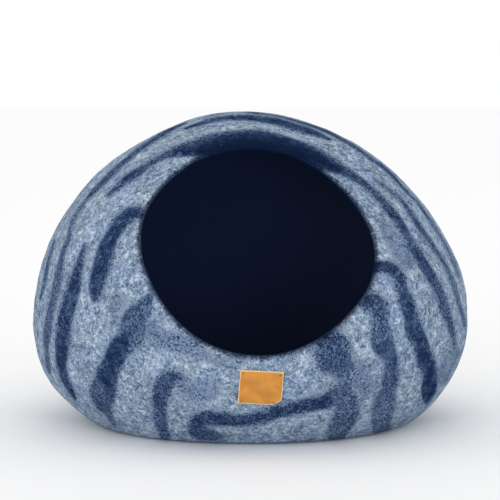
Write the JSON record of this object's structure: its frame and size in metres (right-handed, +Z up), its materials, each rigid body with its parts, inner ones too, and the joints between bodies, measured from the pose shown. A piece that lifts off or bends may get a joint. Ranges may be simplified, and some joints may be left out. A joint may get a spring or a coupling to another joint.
{
  "type": "felt cat cave",
  "caption": "Pebble-shaped cat cave of thick wet-felted wool in blue with navy stripes, with a round mouth in its upper front, a flat base and a small leather patch.",
  "frame": {"origin": "on the floor, under the middle of the shell", "axes": "+Z up; the mouth faces -Y and a little upwards; +X is on the right of someone who looks at the mouth"},
  "size_m": [0.4999, 0.4294, 0.3533],
  "materials": {
    "felt": "matte wet-felted wool, mottled light blue outside with navy stripes, navy inside",
    "leather": "smooth tan leather with paler raw edges"
  },
  "bodies": {
    "root": {"felt_shell": "felt", "leather_patch": "leather"}
  },
  "joints": []
}
